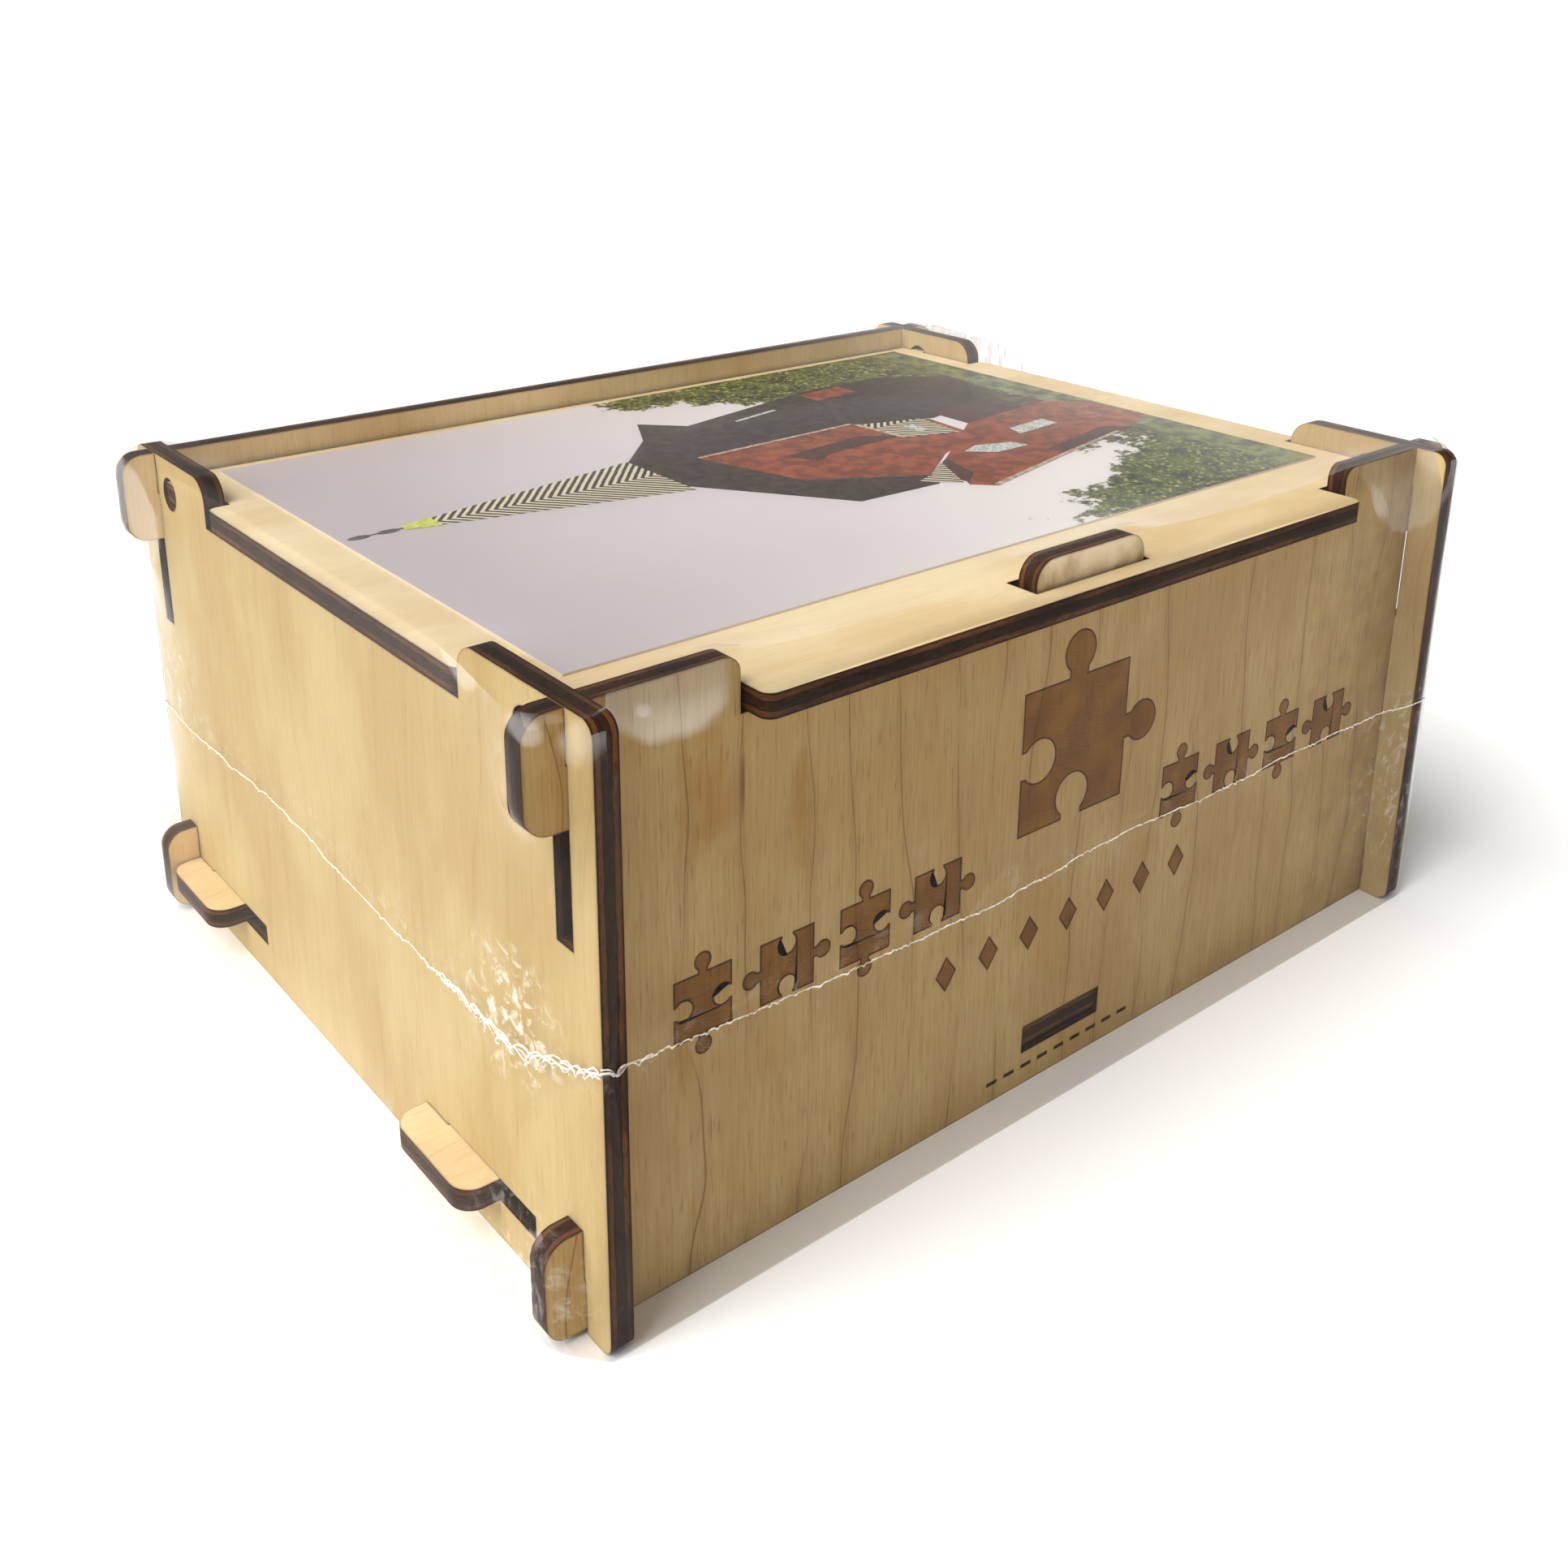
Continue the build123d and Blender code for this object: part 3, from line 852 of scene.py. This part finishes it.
def makeTopSheet(rim, nx, ny):
    # fill the rim with a grid, then let it sag between the ears
    front = rim[: nx + 1]
    right = rim[nx: nx + ny + 1]
    back = rim[nx + ny: 2 * nx + ny + 1][::-1]
    left = np.vstack([rim[2 * nx + ny:], rim[:1]])[::-1]
    u = np.linspace(0, 1, nx + 1)[:, None, None]
    v = np.linspace(0, 1, ny + 1)[None, :, None]
    grid = (1 - v) * front[:, None] + v * back[:, None] + (1 - u) * left[None] + u * right[None]
    grid -= (1 - v) * ((1 - u) * front[0] + u * front[-1]) + v * ((1 - u) * back[0] + u * back[-1])
    x, y = grid[..., 0], grid[..., 1]
    px, py, band = panelX / mm, panelY / mm, film["earBand"]
    onSide = (np.abs(np.abs(x) - px + 1.5) < band) & (np.abs(y) > film["sideEarStart"])
    onEars = (np.abs(x) > film["frontEarStart"]) | (np.abs(x) < film["tongueHalf"])
    onFront = (np.abs(y + py - film["panelIn"]) < band) & onEars & (np.abs(x) < px)
    onBack = (np.abs(y - py + film["panelIn"]) < band) & (np.abs(x) < px)
    lower = np.where(onSide | onFront | onBack, boxTop / mm + film["proud"], lidHigh.z / mm + film["overLid"])
    grid[..., 2] = relax(lower, edgesOf(x.shape), grid[..., 2], film["topPull"], film["topRounds"])
    return grid


filmRows, filmAcross, filmDeep = makeFilmShape()
filmTop = makeTopSheet(filmRows[-1], filmAcross, filmDeep)


def crumple(points):
    # fine ripples, stronger along the welded seam and at the front left corner
    seam = np.exp(-((points[:, 2] - film["seamHeight"]) / 3.0) ** 2)
    corner = np.exp(-(((points[:, 0] + 78) / 10) ** 2 + ((points[:, 1] + 50) / 16) ** 2)) * seam
    ends = np.exp(-((np.abs(points[:, 0]) - 79) / 5.0) ** 2) * 0.6
    fine = smoothNoise(points, 3, 3.2)
    broad = smoothNoise(points, 4, 11.0)
    return 0.06 * broad + 0.012 * fine * (1 + 4 * ends) + 0.04 * seam * fine + 0.16 * corner * fine


# places where the film is gathered into pale creases
gathers = [
    {"at": (-78.0, -47.5, 36.5), "size": 12.0, "strength": 0.5},
    {"at": (-80.5, -52.0, 6.0), "size": 15.0, "strength": 0.2},
    {"at": (-80.0, 57.0, 40.0), "size": 20.0, "strength": 0.2},
    {"at": (78.5, -61.0, 22.0), "size": 26.0, "strength": 0.2},
    {"at": (76.0, 0.0, 76.0), "size": 40.0, "strength": 0.12},
]
# places where the film presses on the wood, given painted highlights for the light it catches there
paintedHighlights = [
    {"at": (-66.0, -60.0, 79.0), "stretch": (0.85, 0.6, 1.0), "size": 9.0, "strength": 0.24},
    {"at": (-69.0, -60.0, 73.6), "stretch": (0.9, 0.5, 1.3), "size": 1.7, "strength": 0.5},
    {"at": (67.0, -60.0, 73.5), "stretch": (0.8, 0.6, 1.0), "size": 9.0, "strength": 0.1},
    {"at": (58.0, -59.0, 70.5), "stretch": (1.3, 0.6, 0.9), "size": 3.2, "strength": 0.2},
    {"at": (-77.0, -62.5, 76.0), "stretch": (0.5, 0.9, 0.5), "size": 2.6, "strength": 0.14},
    {"at": (-82.0, -57.5, 74.5), "stretch": (0.7, 0.7, 1.5), "size": 2.4, "strength": 0.14},
    {"at": (-77.0, -43.0, 76.5), "stretch": (0.6, 0.8, 1.2), "size": 5.0, "strength": 0.16},
    {"at": (-79.0, 53.5, 67.0), "stretch": (0.6, 0.9, 0.7), "size": 6.0, "strength": 0.15},
    {"at": (-82.0, 57.0, 73.0), "stretch": (0.7, 0.7, 0.8), "size": 3.0, "strength": 0.16},
    {"at": (76.0, -61.0, 74.0), "stretch": (0.8, 1.0, 0.9), "size": 4.0, "strength": 0.14},
]


filmFinish = {
    "clear": (0.945, 0.95, 0.95, 1), "gloss": (1, 1, 1, 1), "glossRough": 0.07, "index": 1.3, "shine": 0.4,
    "grazing": 0.4, "milkAndPaintedLight": (0.95, 0.94, 0.92, 1), "milkRough": 0.3, "haze": 0.003,
    "crinkle": 0.5, "seamMilk": 0.08, "streaks": 0.1, "paintedReflection": 0.09,
}


def milkAndPaintedLightAmount(tree, position, upright, rightSide):
    # how milky the film is at the seam, in its gathers and down the right side, with painted highlights
    # where it presses on the wood and a painted reflection over the right end of the lid
    axes = separate(tree, position)
    fromSeam = mathNode(tree, "ABSOLUTE", minus(tree, axes[2], film["seamHeight"]))
    nearSeam = ramp(tree, fromSeam, 0.0, 5.0, 1.0, 0.0)
    lines = ramp(tree, noise(tree, position, 0.5, 4.0, 0.65, 0.8), 0.48, 0.7)
    amount = times(tree, times(tree, lines, nearSeam), filmFinish["seamMilk"])
    for spot in gathers:
        gap = vectorMath(tree, "DISTANCE", position, spot["at"])
        near = ramp(tree, gap, spot["size"] * 0.15, spot["size"], 1.0, 0.0)
        amount = plus(tree, amount, times(tree, times(tree, lines, near), spot["strength"]))
    streaks = times(tree, ramp(tree, upright, 0.5, 0.66), rightSide)
    amount = plus(tree, amount, times(tree, streaks, filmFinish["streaks"]))
    warp = times(tree, noise(tree, position, 0.2, 2.0), 2.5)
    level = mathNode(tree, "ABSOLUTE", facingAlong(tree, 2))
    upstanding = ramp(tree, level, 0.5, 0.8, 1.0, 0.0)
    # painted highlights where the film presses on the wood, on its upright faces only
    for spot in paintedHighlights:
        reach = plus(tree, distanceTo(tree, position, spot), warp)
        mask = ramp(tree, reach, spot["size"], spot["size"] + 1.2, spot["strength"], 0.0)
        amount = mathNode(tree, "MAXIMUM", amount, times(tree, mask, upstanding))
    # painted reflection: a pale veil on the film over the right end of the lid
    paintedReflection = times(tree, ramp(tree, axes[0], 25.0, 78.0), ramp(tree, level, 0.8, 0.95))
    amount = plus(tree, amount, times(tree, paintedReflection, filmFinish["paintedReflection"]))
    return plus(tree, amount, filmFinish["haze"], clamp=True)


def filmLook(name):
    material, tree, out = newMaterial(name)
    position = millimetres(tree)
    x, y, z = separate(tree, position)
    drawn = combine(tree, times(tree, x, 0.4), times(tree, y, 0.4), times(tree, z, 0.07))
    upright = noise(tree, drawn, 1.0, 2.0, 0.5, 0.5)
    rightSide = ramp(tree, x, 74.0, 77.5)
    pulled = times(tree, upright, plus(tree, 0.12, times(tree, rightSide, 0.9)))
    normal = bump(tree, pulled, filmFinish["crinkle"] * mm, 0.5)
    clear = tree.nodes.new("ShaderNodeBsdfTransparent")
    clear.inputs["Color"].default_value = filmFinish["clear"]
    gloss = tree.nodes.new("ShaderNodeBsdfGlossy")
    gloss.inputs["Roughness"].default_value = filmFinish["glossRough"]
    gloss.inputs["Color"].default_value = filmFinish["gloss"]
    tree.links.new(normal, gloss.inputs["Normal"])
    fresnel = tree.nodes.new("ShaderNodeFresnel")
    fresnel.inputs["IOR"].default_value = filmFinish["index"]
    tree.links.new(normal, fresnel.inputs["Normal"])
    weight = tree.nodes.new("ShaderNodeLayerWeight")
    weight.inputs["Blend"].default_value = 0.5
    grazing = times(tree, ramp(tree, weight.outputs["Facing"], 0.72, 1.0), filmFinish["grazing"])
    shine = tree.nodes.new("ShaderNodeMixShader")
    tree.links.new(plus(tree, times(tree, fresnel.outputs[0], filmFinish["shine"]), grazing), shine.inputs[0])
    tree.links.new(clear.outputs[0], shine.inputs[1])
    tree.links.new(gloss.outputs[0], shine.inputs[2])
    # a pale shader for the milky film, which also shows its painted highlights and painted reflection
    milkAndPaintedLight = tree.nodes.new("ShaderNodeBsdfPrincipled")
    milkAndPaintedLight.inputs["Base Color"].default_value = filmFinish["milkAndPaintedLight"]
    milkAndPaintedLight.inputs["Roughness"].default_value = filmFinish["milkRough"]
    # the clear film mixed with the milky film and its painted highlights and painted reflection
    haze = tree.nodes.new("ShaderNodeMixShader")
    tree.links.new(milkAndPaintedLightAmount(tree, position, upright, rightSide), haze.inputs[0])
    tree.links.new(shine.outputs[0], haze.inputs[1])
    tree.links.new(milkAndPaintedLight.outputs[0], haze.inputs[2])
    tree.links.new(haze.outputs[0], out.inputs["Surface"])
    return material


filmMaterial = filmLook("shrinkFilm")


def rippled(points):
    # move each point straight out from its side of the box
    points = points.copy()
    amount = crumple(points)
    sideways = np.abs(points[:, 0]) >= panelX / mm - 0.01
    points[:, 0] += np.where(sideways, np.sign(points[:, 0]) * np.maximum(amount, -film["proud"] * 0.7), 0)
    points[:, 1] += np.where(sideways, 0, np.sign(points[:, 1]) * amount * 0.8)
    return points


def makeFilm():
    count = filmRows.shape[1]
    body = rippled(filmRows.reshape(-1, 3))
    faces = []
    for row in range(filmRows.shape[0] - 1):
        for k in range(count):
            after = (k + 1) % count
            low, high = row * count, (row + 1) * count
            faces.append((low + k, low + after, high + after, high + k))
    sleeve = meshObject("filmSleeve", body * mm, faces, [filmMaterial], "box", smooth=True)
    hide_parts("film_sleeve")
    nx, ny = filmTop.shape[:2]
    points = filmTop.reshape(-1, 3).copy()
    ripple = crumple(points)
    ripple[np.abs(points[:, 2] - boxTop / mm) < 0.3] *= 0.3
    points[:, 2] += ripple * 1.5
    edge = edgesOf((nx, ny)).ravel()
    points[edge] = filmTop.reshape(-1, 3)[edge]
    faces = [(a * ny + b, (a + 1) * ny + b, (a + 1) * ny + b + 1, a * ny + b + 1)
             for a in range(nx - 1) for b in range(ny - 1)]
    topSheet = meshObject("filmTop", points * mm, faces, [filmMaterial], None, smooth=True)
    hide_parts("film_lid")
    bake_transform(topSheet)


makeFilm()
print("film made")


# Welded seam: a thin, uneven bead of shrunken film round the box.
seam = {"thin": 0.09, "thick": 0.2, "step": 0.35, "wander": 0.6, "strands": 4,
        "sides": 4, "lift": 0.12, "breakLength": 6}


def seamLook():
    material, tree, out = newMaterial("filmSeam")
    shader = principled(tree, out)
    position = millimetres(tree)
    broken = noise(tree, position, 0.5, 4.0, 0.7)
    tone = mixColour(tree, broken, colour(236, 226, 206), colour(255, 252, 246))
    tree.links.new(tone, shader.inputs["Base Color"])
    tree.links.new(ramp(tree, broken, 0.3, 0.7, 0.2, 0.5), shader.inputs["Roughness"])
    tree.links.new(ramp(tree, broken, 0.36, 0.6, 0.25, 0.95), shader.inputs["Alpha"])
    tree.links.new(bump(tree, broken, 0.1 * mm, 0.5), shader.inputs["Normal"])
    return material


def loopAt(height):
    row = np.argmin(np.abs(filmRows[:, 0, 2] - height))
    loop = rippled(filmRows[row])
    return np.vstack([loop, loop[:1]])


# height of the seam along each side, in pairs of a place and a height
seamHeights = {
    "left": [(-63, 37.6), (-57.7, 35.3), (-47.8, 33.2), (-33, 34.0), (-8, 34.4), (15.5, 36.1), (53, 34.5),
             (63, 33.9)],
    "front": [(-77, 37.6), (-63.7, 36.2), (-23.4, 34.8), (6.8, 36.2), (33.4, 36.2), (59.7, 36.7), (77, 35.6)],
    "back": [(-77, 33.9), (-20, 35.2), (30, 34.6), (77, 35.6)],
}


def seamLevel(points):
    # the seam rises and dips on its way round
    x, y = points[:, 0], points[:, 1]
    left, front, back = (np.interp(way, *zip(*seamHeights[side]))
                         for way, side in ((y, "left"), (x, "front"), (x, "back")))
    level = np.where(y < 0, front, back)
    level = np.where(x < -panelX / mm, left, level)
    level = np.where(x > panelX / mm, 35.6 + 0.5 * np.sin(y / 18), level)
    return level - film["seamHeight"]


def seamStrand(strand, loop, lengths):
    # the path of one strand, the way out from the box along it, and its thickness
    rng = np.random.default_rng(20 + strand)
    along = np.arange(0, lengths[-1], seam["step"])

    def onLoop(distances):
        return np.column_stack([np.interp(distances, lengths, loop[:, axis]) for axis in range(3)])

    first = onLoop(along)
    gather = np.exp(-(((first[:, 0] + 78) / 8) ** 2 + ((first[:, 1] + 49) / 17) ** 2))
    # the thread runs in little loops where the film is gathered
    curl = along * (1.7 + 0.3 * strand) + 1.5 * smoothNoise(first, 50 + strand, 3.0)
    place = onLoop(along + 0.8 * gather * np.sin(curl))
    if strand:
        keep = gather > 0.1 + 0.12 * strand
        place, gather, curl = place[keep], gather[keep], curl[keep]
    jitter = rng.normal(size=len(place))
    slow = smoothNoise(place, 30, 2.6)
    place[:, 2] += seam["wander"] * slow + 0.07 * jitter + 0.75 * gather * np.cos(curl)
    if strand:
        place[:, 2] += (strand - 0.5) * 0.7 * gather * smoothNoise(place, 40 + strand, 1.8)
    place[:, 2] += seamLevel(place)
    outward = np.where(np.abs(place[:, 0]) > panelX / mm, np.sign(place[:, 0]), 0)
    frontward = np.where(outward == 0, np.sign(place[:, 1]), 0)
    lift = seam["lift"] + 0.06 * np.abs(jitter) + 0.25 * gather * (1 + np.sin(curl * 0.7))
    place[:, 0] += outward * lift
    place[:, 1] += frontward * lift
    swell = np.clip(0.3 * np.abs(jitter) + 0.2 * gather, 0, 1)
    return place, outward, frontward, seam["thin"] + (seam["thick"] - seam["thin"]) * swell


def makeSeam():
    loop = loopAt(film["seamHeight"])
    lengths = np.concatenate([[0], np.cumsum(np.linalg.norm(np.diff(loop, axis=0), axis=1))])
    vertices, faces = [], []
    sides = seam["sides"]
    for strand in range(seam["strands"]):
        place, outward, frontward, size = seamStrand(strand, loop, lengths)
        base = len(vertices)
        for point, side, front, radius in zip(place, outward, frontward, size):
            for turn in range(sides):
                angle = math.tau / sides * turn
                push = radius * math.cos(angle) * 0.5
                vertices.append(((point[0] + side * push) * mm, (point[1] + front * push) * mm,
                                 (point[2] + radius * math.sin(angle)) * mm))
        for k in range(len(place) - 1):
            # a long step is a break between two gathered stretches
            if np.linalg.norm(place[k + 1] - place[k]) > seam["breakLength"]:
                continue
            near = base + sides * k
            for turn in range(sides):
                after = (turn + 1) % sides
                faces.append((near + turn, near + after, near + sides + after, near + sides + turn))
    meshObject("filmSeam", vertices, faces, [seamLook()], "box", smooth=True)


makeSeam()
print("seam made")


# Floor, light and camera
stage = {"half": 40.0, "floor": (0.93, 0.93, 0.93, 1), "floorRough": 0.9, "room": (1.0, 1.0, 1.0, 1)}


def makeStage():
    material, tree, out = newMaterial("paleFloor")
    shader = principled(tree, out)
    shader.inputs["Base Color"].default_value = stage["floor"]
    shader.inputs["Roughness"].default_value = stage["floorRough"]
    half = stage["half"]
    corners = [(-half, -half, 0), (half, -half, 0), (half, half, 0), (-half, half, 0)]
    meshObject("floorPlane", corners, [(0, 1, 2, 3)], [material], None)
    world = bpy.data.worlds.new("studio")
    bpy.context.scene.world = world
    world.use_nodes = True
    # brighter towards the horizon, like a room with pale walls
    room = world.node_tree
    way = room.nodes.new("ShaderNodeTexCoord")
    up = separate(room, way.outputs["Generated"])[2]
    background = room.nodes["Background"]
    room.links.new(ramp(room, up, 0.02, 0.42, 1.0, 0.3), background.inputs["Strength"])
    background.inputs["Color"].default_value = stage["room"]


sun = {"from": (-0.66, 0.06, 0.74), "strength": 5.0, "spread": 50, "tone": (1.0, 0.985, 0.96)}


def makeSun():
    data = bpy.data.lights.new("keySun", "SUN")
    data.energy = sun["strength"]
    data.angle = math.radians(sun["spread"])
    data.color = sun["tone"]
    item = bpy.data.objects.new("keySun", data)
    bpy.context.scene.collection.objects.link(item)
    item.rotation_mode = "QUATERNION"
    item.rotation_quaternion = (-Vector(sun["from"])).to_track_quat("-Z", "Y")


camera = {
    "at": (-0.15123, -0.18137, 0.14131), "turn": 38.71, "down": 18.12, "roll": 0.26,
    "sensor": 36, "lens": 37.48, "shift": (0.0129, -0.169), "near": 0.01, "far": 120,
}


def makeCamera():
    data = bpy.data.cameras.new("viewCamera")
    data.sensor_width = camera["sensor"]
    data.lens = camera["lens"]
    data.shift_x, data.shift_y = camera["shift"]
    data.clip_start, data.clip_end = camera["near"], camera["far"]
    item = bpy.data.objects.new("viewCamera", data)
    bpy.context.scene.collection.objects.link(item)
    turn = Matrix.Rotation(math.radians(-camera["turn"]), 4, "Z")
    tilt = Matrix.Rotation(math.radians(90 - camera["down"]), 4, "X")
    roll = Matrix.Rotation(math.radians(camera["roll"]), 4, "Z")
    item.matrix_world = Matrix.Translation(camera["at"]) @ turn @ tilt @ roll
    bpy.context.scene.camera = item


makeStage()
makeSun()
makeCamera()
bpy.context.scene.view_settings.view_transform = "Standard"
print("scene ready")
